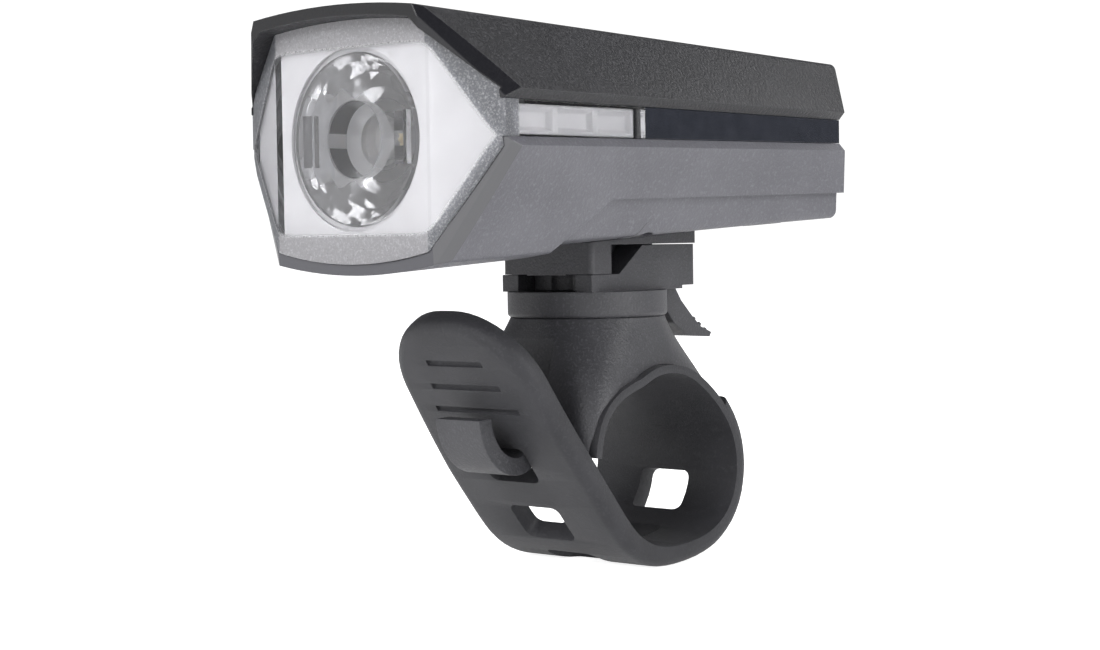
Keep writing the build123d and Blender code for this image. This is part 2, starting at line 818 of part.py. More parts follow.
def thick_strap():
    """Thick part of the strap: rear wall, bottom and tail."""
    line = loop_line()
    sections = []
    for index in range(loop_steps + 1):
        point = line @ (index / loop_steps)
        along = line % (index / loop_steps)
        outward = degrees(atan2(along.Z, along.Y)) + top_angle
        sections.append(strap_section((point.Y, point.Z), outward))
    rear = loft(sections)
    low = strap_section(polar(bar_radius + bar_ease, under_angle), under_angle)
    under = revolve(low, Axis((0, 0, 0), (-1, 0, 0)), 2 * top_angle - tail_rise_angle)
    foot = strap_section(tail_point(0), tail_rise_angle + top_angle)
    tail = revolve(foot, Axis((0, *tail_centre()), (-1, 0, 0)), tail_turn)
    return rear + under + tail


def liner_line(gap):
    """Line over the bar from the rear to the front tip, drawn outwards by a gap, and its two ends."""
    radius = bar_radius + gap
    low, high = liner_arc
    rear = [polar(bar_radius * (1 + share) + gap, angle) for angle, share in liner_rear_shares]
    front = [polar(bar_radius * (1 + share) + gap, angle) for angle, share in liner_front_shares]
    rear_ends = (polar(1, strap_start + strap_flare + top_angle), polar(1, low + top_angle))
    front_ends = (polar(1, high + top_angle), polar(1, under_angle))
    line = Spline(*rear, polar(radius, low), tangents=rear_ends)
    line += ThreePointArc(polar(radius, low), polar(radius, (low + high) / 2), polar(radius, high))
    line += Spline(polar(radius, high), *front, tangents=front_ends)
    return line, rear[0], front[-1]


def liner():
    """Thin part of the strap against the bar, inside the saddle."""
    inner, rear_in, tip_in = liner_line(0)
    outer, rear_out, tip_out = liner_line(liner_thickness)
    outline = inner + outer + Line(rear_in, rear_out) + Line(tip_in, tip_out)
    plane = Plane(origin=(strap_width / 2, 0, 0), x_dir=(0, 1, 0), z_dir=(1, 0, 0))
    return extrude(plane * make_face(outline), -strap_width)


def slot_cut(point, outward):
    """Slot through the strap, square to its surface."""
    shape = surface_plane(point, outward) * RectangleRounded(slot_width, slot_length, slot_corner)
    return extrude(shape, strap_thickness * 2, both=True)


def grip_groove(share, half):
    """Shallow finger groove across the outer face of the tail."""
    face = strap_thickness - grip_rib_depth
    plane = surface_plane(tail_point(share), tail_angle(share) + top_angle)
    return plane * Pos(0, 0, face + strap_thickness / 2) * Box(half * 2, grip_rib_width, strap_thickness)


def tail_trim():
    """Material outside the tapered, rounded end of the tail."""
    plane = surface_plane(tail_point(1), tail_angle(1) + top_angle)
    sign = 1 if plane.y_dir.Y * polar(1, tail_angle(1))[0] > 0 else -1
    wide = strap_width / 2
    tip = tail_tip_width / 2
    low = -sign * tail_taper_length
    end = make_face(Polyline((-wide, low), (-tip, 0), (tip, 0), (wide, low), close=True))
    end = fillet(end.vertices().filter_by(lambda v: abs(v.Y) < section_match), tail_corner)
    outside = Pos(0, low + sign * tail_taper_length) * Rectangle(strap_width * 2, tail_taper_length * 2)
    return extrude(plane * (outside - end), strap_thickness * 3, both=True)


def strap():
    body = thick_strap() + liner()
    for share in tail_slot_shares:
        body -= slot_cut(tail_point(share), tail_angle(share) + top_angle)
    for angle, share in loop_slot_shares:
        body -= slot_cut(polar(bar_radius * (1 + share), angle), angle)
    for share, half in zip(grip_rib_shares, grip_rib_halves):
        body -= grip_groove(share, half)
    body -= Rot(0, top_angle, 0) * Cylinder(bar_radius, strap_width * 2)
    return body - tail_trim()


def saddle_void():
    """Bar and liner space inside the saddle."""
    line, rear, tip = liner_line(liner_thickness + liner_clear)
    low = -bar_radius
    line += Polyline(tip, (tip[0], low), (rear[0], low), rear)
    plane = Plane(origin=(strap_width, 0, 0), x_dir=(0, 1, 0), z_dir=(1, 0, 0))
    return extrude(plane * make_face(line), -strap_width * 2)


def saddle_base():
    top = disc_z[0] - saddle_gap
    sections = [Pos(0, swivel_y, top) * Circle(saddle_top_radius)]
    for z, half, front, rear, round_off in saddle_levels:
        sections.append(Pos(0, (front + rear) / 2, z) * RectangleRounded(half * 2, rear - front, round_off))
    body = loft(sections[::-1])
    low = -bar_radius
    body -= block((-strap_width, strap_width), (0, strap_width), (low, saddle_rear_foot))
    front = saddle_levels[1][2]
    body -= block((-arch_half, arch_half), (front * 2, front + arch_depth), arch_z)
    body -= saddle_void()
    body -= rod(swivel_shank_radius + swivel_ease, 0, swivel_y, nut_z, top)
    pocket = extrude(hexagon(nut_across + liner_clear * 2), nut_z + nut_thickness + liner_clear)
    body -= Pos(0, swivel_y, 0) * pocket
    return body + hook()


def hook():
    """Hook that comes out of the saddle front, passes the strap slot and curls up."""
    plane = Plane(origin=(hook_half, 0, 0), x_dir=(0, 1, 0), z_dir=(1, 0, 0))
    return extrude(plane * trace(Spline(*hook_path), hook_thickness), -hook_half * 2)


def save(name, shape):
    """One node per file."""
    shape.label = name
    export_step(shape, f"parts/{name}.step")
    box = shape.bounding_box()
    low = [round(value, 1) for value in box.min]
    high = [round(value, 1) for value in box.max]
    print(f"{name:18s} solids {len(shape.solids())} volume {shape.volume:9.1f} from {low} to {high}")


nodes = {
    "upper_housing": upper_housing,
    "lower_housing": lower_housing,
    "front_lens": front_lens,
    "side_strip_left": lambda: side_strip(-1),
    "side_strip_right": lambda: side_strip(1),
    "optic_bezel": optic_bezel,
    "collimator_optic": collimator_optic,
    "led_board": led_board,
    "led_emitter": led_emitter,
    "heat_sink": heat_sink,
    "battery_pack": battery_pack,
    "main_board": main_board,
    "button_switch": button_switch,
    "power_button": power_button,
    "usb_socket": usb_socket,
    "usb_cover": usb_cover,
    "housing_screws": housing_screws,
    "foot_rail": foot_rail,
    "foot_screws": foot_screws,
    "release_shoe": release_shoe,
    "release_lever": release_lever,
    "lever_pin": lever_pin,
    "swivel_screw": swivel_screw,
    "swivel_washer": swivel_washer,
    "swivel_nut": swivel_nut,
    "saddle_base": saddle_base,
    "strap": strap,
}

os.makedirs("parts", exist_ok=True)
for name, make in nodes.items():
    save(name, make())
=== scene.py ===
import math
import bpy
from mathutils import Matrix, Vector


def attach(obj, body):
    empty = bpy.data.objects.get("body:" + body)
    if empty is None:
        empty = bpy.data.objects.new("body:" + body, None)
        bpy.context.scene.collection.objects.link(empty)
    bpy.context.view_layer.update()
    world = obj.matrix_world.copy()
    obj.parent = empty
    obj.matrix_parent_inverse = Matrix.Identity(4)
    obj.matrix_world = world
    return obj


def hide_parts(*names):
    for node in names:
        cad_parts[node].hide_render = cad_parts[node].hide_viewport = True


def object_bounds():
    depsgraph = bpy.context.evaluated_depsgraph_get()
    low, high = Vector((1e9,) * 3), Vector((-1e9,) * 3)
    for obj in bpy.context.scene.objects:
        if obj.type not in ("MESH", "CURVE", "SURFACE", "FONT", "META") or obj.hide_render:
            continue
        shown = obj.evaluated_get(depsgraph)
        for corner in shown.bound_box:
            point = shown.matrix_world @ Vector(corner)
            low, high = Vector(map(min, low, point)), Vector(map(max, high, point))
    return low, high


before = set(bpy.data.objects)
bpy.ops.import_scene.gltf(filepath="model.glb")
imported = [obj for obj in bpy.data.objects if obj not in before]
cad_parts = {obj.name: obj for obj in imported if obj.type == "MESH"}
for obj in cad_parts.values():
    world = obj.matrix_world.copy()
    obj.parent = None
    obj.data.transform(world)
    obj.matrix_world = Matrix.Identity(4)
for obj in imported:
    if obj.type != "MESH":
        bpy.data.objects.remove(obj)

# Lengths are in metres, from sizes stated in millimetres.
mm = 0.001
cad_box = [list(corner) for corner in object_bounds()]

# Handlebar and strap, the same sizes as the solid
bar_radius = 12.7 * mm
bar_ease = 0.05 * mm
strap_width = 27.7 * mm
strap_thickness = 3.0 * mm
strap_round = 1.75 * mm
liner_thickness = 1.2 * mm
liner_arc = (54.0, 118.0)
strap_start = 28.0
liner_rear_shares = ((strap_start, 0.08), (40.0, 0.03))
liner_front_shares = (
    (127.0, 0.045),
    (137.0, 0.12),
    (147.0, 0.195),
    (156.0, 0.235),
    (165.0, 0.245),
    (175.5, 0.25),
)
loop_standoff_shares = (
    (14.0, 0.165),
    (0.0, 0.235),
    (-14.0, 0.275),
    (-28.0, 0.275),
    (-42.0, 0.215),
    (-56.0, 0.125),
    (-70.0, 0.045),
    (-82.0, 0.01),
)
tail_length = 38.6 * mm
tail_rise = 131.0
tail_turn = 10.0
tail_corner = 11.2 * mm
tail_tip_width = 24.8 * mm
tail_taper_length = 27.0 * mm
slot_size = (6.6 * mm, 9.4 * mm)
slot_corner = 1.2 * mm
tail_slot_shares = (0.05, 0.35)
loop_slot_shares = ((-24.0, 0.25), (-63.0, 0.07), (-104.0, 0.0))
grip_rib_shares = (0.82, 0.715, 0.61)
grip_rib_halves = (5.3 * mm, 6.6 * mm, 8.0 * mm)
grip_rib_width = 0.95 * mm
grip_rib_depth = 0.5 * mm
strap_edge_round = 0.22 * mm
strap_edge_angle = 38
strap_smooth_angle = 32
strap_step = 1.3 * mm
tail_steps = 8
liner_steps = 6
under_bar_angles = range(-130, -89, 8)

# Lever grip
thumb_start = (16.4 * mm, 21.55 * mm)
thumb_end = (22.0 * mm, 17.95 * mm)
thumb_ridges = 5
thumb_ridge_half = 3.5 * mm
thumb_ridge_size = 0.62 * mm
ridge_smooth_angle = 40

# Bezel outline behind the lens
optic_z = 46.2 * mm
clear_drop = 0.3 * mm
bezel_rise = 12.2 * mm
bezel_point_rise = 2.6 * mm
bezel_half = 21.0 * mm
bezel_bend = 14.2 * mm
bezel_corner = 2.5 * mm

# Lens
lens_back = -43.4 * mm
lens_flat_half = 14.4 * mm
frost_fade = 0.5 * mm
finish_edge = 0.2 * mm

# White surround behind the lens: plan of its right half, level of its edges and its hole
surround_plan = ((14.0 * mm, -48.7 * mm), (21.4 * mm, -45.75 * mm), (22.7 * mm, -44.6 * mm))
surround_top = ((14.3 * mm, 60.9 * mm), (23.2 * mm, 51.6 * mm))
surround_foot = ((14.2 * mm, 31.7 * mm), (22.8 * mm, 45.0 * mm))
surround_hole = 12.3 * mm
surround_sheet = 0.4 * mm
surround_cutter_depth = 20 * mm
surround_smooth_angle = 30

# Dark sleeve in the hollow of the optic, a painted reflection of the dark bars on its wall
sleeve_radius = 5.1 * mm
sleeve_wall = 0.15 * mm
sleeve_y = (-48.6 * mm, -45.5 * mm)
sleeve_gap_half = 0.95 * mm
sleeve_smooth_angle = 40
dark_spot_radius = 3.9 * mm

# Light guides behind the side windows
guide_x = (20.4 * mm, 21.9 * mm)
guide_y = (-42.6 * mm, -18.4 * mm)
guide_z = (46.15 * mm, 50.15 * mm)
guide_cups = 3
guide_rim = 0.5 * mm
guide_depth = 0.9 * mm
guide_edge_angle = 25
guide_smooth_angle = 40

# Camera, as the photograph was taken
camera_place = (214.92 * mm, -253.18 * mm, 33.08 * mm)
camera_turn = 41.56
camera_drop = 2.32
camera_roll = -0.9
camera_lens = 72.46
camera_sensor = 36.0
camera_clip = (5 * mm, 20.0)

# Studio: place, target and size of each softbox, and its power in watts
studio_lights = {
    "softbox_front": ((0.02, -0.85, 0.48), (0, -0.02, 0.045), (0.45, 0.45), 5),
    "softbox_right": ((0.85, 0.1, 0.3), (0, 0.01, 0.04), (0.5, 0.5), 5),
    "softbox_rear": ((0.12, 0.85, 0.36), (0, 0.01, 0.05), (0.6, 0.3), 1.4),
    "softbox_top": ((-0.1, 0.1, 0.9), (0, 0, 0.03), (0.7, 0.7), 3),
}
floor_size = 6.0
floor_gap = 0.05 * mm
floor_glow = 0.3
floor_glow_seen = 0.86
sky_level = (0.26, 0.26, 0.27)
sky_above = (0.16, 0.16, 0.17)
sky_ahead = (1.5, 1.5, 1.52)
sky_strength = 0.9
sky_strength_seen = 1.1

# Finishes: rounding of edges seen, and how far wear and gloss go
moulded_edge = 0.25 * mm
polished_edge = 0.2 * mm
smooth_edge = 0.15 * mm
metal_edge = 0.12 * mm
grain_wear = 0.75
edge_wear = 0.55
gloss_roughness = 0.36
gloss_darkness = 0.7

# Limits for choosing faces and edges by their place
same_place = 1.0 * mm
same_level = 0.1 * mm
facing = 0.9


# Selecting and shaping

def start_piece(name):
    """Names the primitive that was just added, and returns it."""
    piece = bpy.context.active_object
    piece.name = name
    piece.data.name = name
    return piece


def clear_selection():
    """Leaves edit mode and deselects every object."""
    if bpy.context.object is not None and bpy.context.object.mode == "EDIT":
        bpy.ops.object.mode_set(mode="OBJECT")
    bpy.ops.object.select_all(action="DESELECT")


def pick(piece, kind, test):
    """Selects vertices, edges or faces of a piece by their place, and returns to edit mode."""
    bpy.ops.object.mode_set(mode="EDIT")
    bpy.ops.mesh.select_mode(type=kind)
    bpy.ops.mesh.select_all(action="DESELECT")
    bpy.ops.object.mode_set(mode="OBJECT")
    mesh = piece.data
    for item in {"VERT": mesh.vertices, "EDGE": mesh.edges, "FACE": mesh.polygons}[kind]:
        if kind == "VERT":
            item.select = test(item.co)
        elif kind == "EDGE":
            item.select = test(*[mesh.vertices[index].co for index in item.vertices])
        else:
            item.select = test(item.center, item.normal)
    bpy.ops.object.mode_set(mode="EDIT")


def whole(piece):
    """Selects all of a piece in edit mode."""
    bpy.ops.object.mode_set(mode="EDIT")
    bpy.ops.mesh.select_mode(type="VERT")
    bpy.ops.mesh.select_all(action="SELECT")


def apply_modifier(piece, kind, **settings):
    """Adds one modifier with its settings and applies it."""
    clear_selection()
    piece.select_set(True)
    bpy.context.view_layer.objects.active = piece
    modifier = piece.modifiers.new(kind, kind)
    for key, value in settings.items():
        setattr(modifier, key, value)
    bpy.ops.object.modifier_apply(modifier=modifier.name)


def bar(name, centre, size):
    """Box primitive at its place with its size in the mesh."""
    clear_selection()
    bpy.ops.mesh.primitive_cube_add(size=1, location=centre)
    piece = start_piece(name)
    piece.scale = size
    bpy.ops.object.transform_apply(location=True, rotation=True, scale=True)
    return piece


def cut_with(piece, cutter):
    """Takes one shape out of another and throws the cutter away."""
    apply_modifier(piece, "BOOLEAN", object=cutter, operation="DIFFERENCE", solver="EXACT")
    bpy.data.objects.remove(cutter)


def smooth(piece, angle):
    """Shades a piece smooth except at edges sharper than an angle."""
    clear_selection()
    piece.select_set(True)
    bpy.context.view_layer.objects.active = piece
    bpy.ops.object.shade_smooth_by_angle(angle=math.radians(angle))


def polar(radius, angle):
    """Point at a radius and an angle from the bar's centre."""
    return Vector((radius * math.cos(math.radians(angle)), radius * math.sin(math.radians(angle))))


# Strap

def tail_point(share):
    """Point on the inner face of the tail, in the plane across the bar."""
    radius = tail_length / math.radians(tail_turn)
    foot = polar(bar_radius + bar_ease, tail_rise + 90)
    centre = foot - polar(radius, tail_rise + 90)
    return centre + polar(radius, tail_rise - tail_turn * share + 90)


def strap_line():
    """Inner line of the strap from the tip of the tail, round the bar, to the tip of the liner."""
    points = [tail_point(1 - step / tail_steps) for step in range(tail_steps + 1)]
    points += [polar(bar_radius + bar_ease, angle) for angle in under_bar_angles]
    low, high = liner_arc
    stood_off = list(reversed(loop_standoff_shares)) + list(liner_rear_shares)
    stood_off += [(low + (high - low) * step / liner_steps, 0) for step in range(liner_steps + 1)]
    stood_off += liner_front_shares
    points += [polar(bar_radius * (1 + share), angle) for angle, share in stood_off]
    return points


def strap_curve(points):
    """Smooth curve through the points of the strap's inner line."""
    clear_selection()
    bpy.ops.curve.primitive_bezier_curve_add()
    curve = start_piece("strap_path")
    curve.data.dimensions = "2D"
    curve.data.resolution_u = 24
    curve.matrix_world = Matrix.Identity(4)
    spline = curve.data.splines[0]
    spline.bezier_points.add(len(points) - 2)
    for knot, point in zip(spline.bezier_points, points):
        knot.co = (point.y, point.x, 0)
        knot.handle_left_type = "AUTO"
        knot.handle_right_type = "AUTO"
    return curve


def length_to(points, place):
    """Length of the line up to the point nearest a place."""
    total = 0
    best = (1, 0)
    for a, b in zip(points, points[1:]):
        along = max(0, min(1, (place - a).dot(b - a) / (b - a).length_squared))
        gap = (a.lerp(b, along) - place).length
        if gap < best[0]:
            best = (gap, total + (b - a).length * along)
        total += (b - a).length
    return best[1]


def flat_strap(length, thick_end):
    """Strap laid out flat: X along it, Y through it, Z along the bar."""
    def on_rim(a, b):
        outer = min(a.y, b.y) > strap_thickness - same_level
        return outer and min(a.x, b.x) <= thick_end - same_place

    middle = (thick_end / 2, strap_thickness / 2, 0)
    piece = bar("rubber_strap", middle, (thick_end, strap_thickness, strap_width))
    whole(piece)
    bpy.ops.mesh.bisect(plane_co=(0, liner_thickness, 0), plane_no=(0, 1, 0))
    pick(piece, "FACE", lambda c, n: n.x > facing and c.y < liner_thickness)
    bpy.ops.mesh.extrude_region_move(TRANSFORM_OT_translate={"value": (length - thick_end, 0, 0)})
    whole(piece)
    bpy.ops.mesh.bisect(plane_co=(tail_taper_length, 0, 0), plane_no=(1, 0, 0))
    pick(piece, "VERT", lambda c: c.x < same_place)
    bpy.ops.transform.resize(value=(1, 1, tail_tip_width / strap_width))
    whole(piece)
    bpy.ops.mesh.dissolve_limited(angle_limit=0.01)
    pick(piece, "EDGE", lambda a, b: max(a.x, b.x, abs(a.z - b.z)) < same_place)
    bpy.ops.mesh.bevel(offset=tail_corner, offset_type="OFFSET", segments=12, affect="EDGES")
    pick(piece, "EDGE", on_rim)
    bpy.ops.mesh.bevel(offset=strap_round, offset_type="OFFSET", segments=5, affect="EDGES")
    bpy.ops.object.mode_set(mode="OBJECT")
    return piece


def cut_slot(piece, along):
    """Rounded slot through the strap."""
    size = (slot_size[0], strap_thickness * 3, slot_size[1])
    cutter = bar("slot_cutter", (along, strap_thickness / 2, 0), size)
    pick(cutter, "EDGE", lambda a, b: max(abs(a.x - b.x), abs(a.z - b.z)) < same_place)
    bpy.ops.mesh.bevel(offset=slot_corner, segments=4, affect="EDGES")
    bpy.ops.object.mode_set(mode="OBJECT")
    cut_with(piece, cutter)


def cut_grip(piece, along, half):
    """Shallow groove across the outer face of the tail."""
    size = (grip_rib_width, grip_rib_depth * 2, half * 2)
    cutter = bar("grip_cutter", (along, strap_thickness, 0), size)
    pick(cutter, "EDGE", lambda a, b: a.y < strap_thickness and b.y < strap_thickness)
    bpy.ops.mesh.bevel(offset=grip_rib_depth / 5, segments=2, affect="EDGES")
    bpy.ops.object.mode_set(mode="OBJECT")
    cut_with(piece, cutter)


def rubber_strap():
    """Strap made flat, with its slots and grooves, then bent round the bar."""
    points = strap_line()
    line = strap_curve(points)
    thick_end = length_to(points, polar(bar_radius * (1 + liner_rear_shares[0][1]), strap_start))
    length = length_to(points, points[-1])
    piece = flat_strap(length, thick_end)
    for share in tail_slot_shares:
        cut_slot(piece, tail_length * (1 - share))
    for angle, share in loop_slot_shares:
        cut_slot(piece, length_to(points, polar(bar_radius * (1 + share), angle)))
    for share, half in zip(grip_rib_shares, grip_rib_halves):
        cut_grip(piece, tail_length * (1 - share), half)
    apply_modifier(piece, "BEVEL", width=strap_edge_round, segments=2, limit_method="ANGLE",
                   angle_limit=math.radians(strap_edge_angle))
    whole(piece)
    for step in range(1, int(length / strap_step)):
        bpy.ops.mesh.select_all(action="SELECT")
        bpy.ops.mesh.bisect(plane_co=(step * strap_step, 0, 0), plane_no=(1, 0, 0))
    whole(piece)
    bpy.ops.mesh.remove_doubles(threshold=mm / 1000)
    bpy.ops.object.mode_set(mode="OBJECT")
    apply_modifier(piece, "CURVE", object=line, deform_axis="POS_X")
    # The curve lies in the plane of X and Y, and the strap stands in the plane of Y and Z.
    piece.data.transform(Matrix(((0, 0, -1, 0), (0, 1, 0, 0), (1, 0, 0, 0), (0, 0, 0, 1))))
    bpy.data.objects.remove(line)
    smooth(piece, strap_smooth_angle)
    return piece


# Lever grip

def lever_ridges():
    """Raised ridges across the thumb end of the release lever."""
    made = []
    start = Vector(thumb_start)
    end = Vector(thumb_end)
    slope = math.atan2(end.y - start.y, end.x - start.x)
    for index in range(thumb_ridges):
        place = start.lerp(end, index / (thumb_ridges - 1))
        ridge = bar("lever_ridge", (0, 0, 0), (thumb_ridge_half * 2, thumb_ridge_size, thumb_ridge_size))
        whole(ridge)
        bpy.ops.mesh.bevel(offset=thumb_ridge_size / 4, segments=3, affect="EDGES")
        bpy.ops.object.mode_set(mode="OBJECT")
        ridge.data.transform(Matrix.Translation((0, place.x, place.y)) @ Matrix.Rotation(slope, 4, "X"))
        smooth(ridge, ridge_smooth_angle)
        made.append(ridge)
    return made


# Optic

def lens_surround():
    """White sheet just behind the lens, between the optic's bezel and the housing."""
    clear_selection()
    top = surround_top[0][1]
    foot = surround_foot[0][1]
    front = surround_plan[0][1]
    upright = (math.pi / 2, 0, 0)
    bpy.ops.mesh.primitive_plane_add(size=1, location=(0, front, (top + foot) / 2), rotation=upright)
    piece = start_piece("lens_surround")
    piece.scale = (surround_plan[-1][0] * 2, top - foot, 1)
    bpy.ops.object.transform_apply(location=True, rotation=True, scale=True)
    for x, _ in surround_plan[:2]:
        for side in (-1, 1):
            whole(piece)
            bpy.ops.mesh.bisect(plane_co=(side * x, 0, 0), plane_no=(1, 0, 0))
    for x, y in surround_plan[1:]:
        pick(piece, "VERT", lambda c: abs(abs(c.x) - x) < same_level)
        bpy.ops.transform.translate(value=(0, y - front, 0))
    for edge, up in ((surround_top, 1), (surround_foot, -1)):
        (x_low, z_low), (x_high, z_high) = edge
        for side in (-1, 1):
            outward = Vector((side * abs(z_high - z_low), 0, up * (x_high - x_low))).normalized()
            whole(piece)
            bpy.ops.mesh.bisect(plane_co=(side * x_low, 0, z_low), plane_no=outward, clear_outer=True)
    bpy.ops.object.mode_set(mode="OBJECT")
    apply_modifier(piece, "SOLIDIFY", thickness=surround_sheet, offset=0)
    clear_selection()
    bpy.ops.mesh.primitive_cylinder_add(vertices=96, radius=surround_hole, depth=surround_cutter_depth,
                                        location=(0, front, optic_z), rotation=upright)
    cut_with(piece, start_piece("surround_cutter"))
    smooth(piece, surround_smooth_angle)
    return piece


def painted_reflection_sleeve():
    """Two dark shells, above and below a bright slit, in the hollow of the optic: a painted reflection of
    dark bars on its wall.
    """
    clear_selection()
    middle = (sleeve_y[0] + sleeve_y[1]) / 2
    bpy.ops.mesh.primitive_cylinder_add(vertices=64, radius=sleeve_radius, depth=sleeve_y[1] - sleeve_y[0],
                                        end_fill_type="NOTHING", location=(0, middle, optic_z),
                                        rotation=(math.pi / 2, 0, 0))
    piece = start_piece("painted_reflection_sleeve")
    bpy.ops.object.transform_apply(location=True, rotation=True, scale=True)
    for edge in (-sleeve_gap_half, sleeve_gap_half):
        whole(piece)
        bpy.ops.mesh.bisect(plane_co=(0, 0, optic_z + edge), plane_no=(0, 0, 1))
    pick(piece, "FACE", lambda c, n: abs(c.z - optic_z) < sleeve_gap_half)
    bpy.ops.mesh.delete(type="FACE")
    bpy.ops.object.mode_set(mode="OBJECT")
    apply_modifier(piece, "SOLIDIFY", thickness=sleeve_wall, offset=0)
    apply_modifier(piece, "BEVEL", width=sleeve_wall / 4, segments=2, limit_method="ANGLE")
    smooth(piece, sleeve_smooth_angle)
    return piece


# Side windows

def window_guide(sign):
    """White guide behind one side window, with shallow cups that face outwards."""
    low = [pair[0] for pair in (guide_x, guide_y, guide_z)]
    high = [pair[1] for pair in (guide_x, guide_y, guide_z)]
    centre = [(a + b) / 2 for a, b in zip(low, high)]
    piece = bar("window_guide", centre, [b - a for a, b in zip(low, high)])
    for cup in range(1, guide_cups):
        whole(piece)
        along = guide_y[0] + (guide_y[1] - guide_y[0]) * cup / guide_cups
        bpy.ops.mesh.bisect(plane_co=(0, along, 0), plane_no=(0, 1, 0))
    pick(piece, "FACE", lambda c, n: n.x > facing)
    bpy.ops.mesh.inset(thickness=guide_rim, use_individual=True)
    bpy.ops.mesh.inset(thickness=guide_rim, depth=-guide_depth, use_individual=True)
    bpy.ops.object.mode_set(mode="OBJECT")
    apply_modifier(piece, "BEVEL", width=guide_rim / 3, segments=2, limit_method="ANGLE",
                   angle_limit=math.radians(guide_edge_angle))
    if sign < 0:
        piece.data.transform(Matrix.Rotation(math.pi, 4, "Z") @ Matrix.Diagonal((1, -1, 1, 1)))
        whole(piece)
        bpy.ops.mesh.normals_make_consistent(inside=False)
        bpy.ops.object.mode_set(mode="OBJECT")
    smooth(piece, guide_smooth_angle)
    return piece


# Materials

def blank(name):
    """New material with its node tree and shader."""
    material = bpy.data.materials.new(name)
    material.use_nodes = True
    return material, material.node_tree, material.node_tree.nodes["Principled BSDF"]


def axes(tree, source):
    """X, Y and Z of a texture coordinate, such as Object or Normal."""
    place = tree.nodes.new("ShaderNodeTexCoord")
    parts = tree.nodes.new("ShaderNodeSeparateXYZ")
    tree.links.new(place.outputs[source], parts.inputs[0])
    return parts.outputs


def noise(tree, size, detail=2.0, roughness=0.5):
    """Fine pattern on Object coordinates with features of about one size."""
    place = tree.nodes.new("ShaderNodeTexCoord")
    pattern = tree.nodes.new("ShaderNodeTexNoise")
    pattern.inputs["Scale"].default_value = 1 / size
    pattern.inputs["Detail"].default_value = detail
    pattern.inputs["Roughness"].default_value = roughness
    tree.links.new(place.outputs["Object"], pattern.inputs["Vector"])
    return pattern.outputs["Fac"]


def spread(tree, value, low, high, from_low=0.3, from_high=0.7):
    """Maps a pattern onto a range."""
    node = tree.nodes.new("ShaderNodeMapRange")
    node.inputs["From Min"].default_value = from_low
    node.inputs["From Max"].default_value = from_high
    node.inputs["To Min"].default_value = low
    node.inputs["To Max"].default_value = high
    tree.links.new(value, node.inputs["Value"])
    return node.outputs["Result"]


def blend(tree, share, first, second):
    """Mixes two colours or links by a share."""
    node = tree.nodes.new("ShaderNodeMix")
    node.data_type = "RGBA"
    tree.links.new(share, node.inputs[0])
    for socket, value in ((node.inputs[6], first), (node.inputs[7], second)):
        if isinstance(value, tuple):
            socket.default_value = (*value, 1)
        else:
            tree.links.new(value, socket)
    return node.outputs[2]


def calculate(tree, operation, first, second=None):
    """Result of one sum on numbers or links."""
    node = tree.nodes.new("ShaderNodeMath")
    node.operation = operation
    for socket, value in zip(node.inputs, (first, second)):
        if value is None:
            continue
        if isinstance(value, (int, float)):
            socket.default_value = value
        else:
            tree.links.new(value, socket)
    return node.outputs[0]


def rounded_edges(tree, radius):
    """Normal of the surface with its edges rounded, and a mask of those edges."""
    soft = tree.nodes.new("ShaderNodeBevel")
    soft.samples = 4
    soft.inputs["Radius"].default_value = radius
    hard = tree.nodes.new("ShaderNodeNewGeometry")
    match = tree.nodes.new("ShaderNodeVectorMath")
    match.operation = "DOT_PRODUCT"
    tree.links.new(soft.outputs["Normal"], match.inputs[0])
    tree.links.new(hard.outputs["Normal"], match.inputs[1])
    return soft.outputs["Normal"], spread(tree, match.outputs["Value"], 1, 0, 0.86, 1)


def bumped(tree, shader, height, depth, normal=None):
    """Adds surface relief to a shader."""
    node = tree.nodes.new("ShaderNodeBump")
    node.inputs["Distance"].default_value = depth
    tree.links.new(height, node.inputs["Height"])
    if normal is not None:
        tree.links.new(normal, node.inputs["Normal"])
    tree.links.new(node.outputs["Normal"], shader.inputs["Normal"])


def moulded_plastic(name, dark, light, worn, roughness, grain, depth, gloss_front=False, chamfer=None):
    """Matt moulded plastic with spark-eroded grain and slightly polished edges.

    With gloss_front the faces along the beam are smooth, and the side chamfers take the given chamfer colour,
    which on the grey housing is a painted highlight, lighter than the glossy front.
    """
    material, tree, shader = blank(name)
    normal, edges = rounded_edges(tree, moulded_edge)
    patches = noise(tree, 9 * mm, 4.0)
    fine = noise(tree, grain, 3.0, 0.6)
    colour = blend(tree, spread(tree, patches, 0, 1), dark, light)
    colour = blend(tree, spread(tree, fine, 0, grain_wear, 0.52, 0.72), colour, worn)
    colour = blend(tree, calculate(tree, "MULTIPLY", edges, edge_wear), colour, worn)
    rough = spread(tree, fine, roughness[0], roughness[1])
    height = fine
    if gloss_front:
        front = facing_forward(tree)
        matt = calculate(tree, "SUBTRACT", 1.0, front)
        rough = calculate(tree, "MULTIPLY", rough, spread(tree, matt, gloss_roughness, 1.0, 0, 1))
        height = calculate(tree, "MULTIPLY", fine, matt)
        colour = blend(tree, front, colour, tuple(value * gloss_darkness for value in dark))
        # The chamfer colour replaces the front's tone; on the grey housing it is a painted highlight.
        colour = blend(tree, calculate(tree, "MULTIPLY", front, facing_sideways(tree)), colour, chamfer)
    tree.links.new(colour, shader.inputs["Base Color"])
    tree.links.new(rough, shader.inputs["Roughness"])
    bumped(tree, shader, height, depth, normal)
    return material


def facing_forward(tree):
    """Mask of the faces that look along the beam, from the piece's own normals."""
    return spread(tree, axes(tree, "Normal")["Y"], 1, 0, -0.45, -0.3)


def facing_sideways(tree):
    """Mask of the faces that lean to either side, such as the chamfers beside the lens."""
    return spread(tree, calculate(tree, "ABSOLUTE", axes(tree, "Normal")["X"]), 0, 1, 0.25, 0.45)


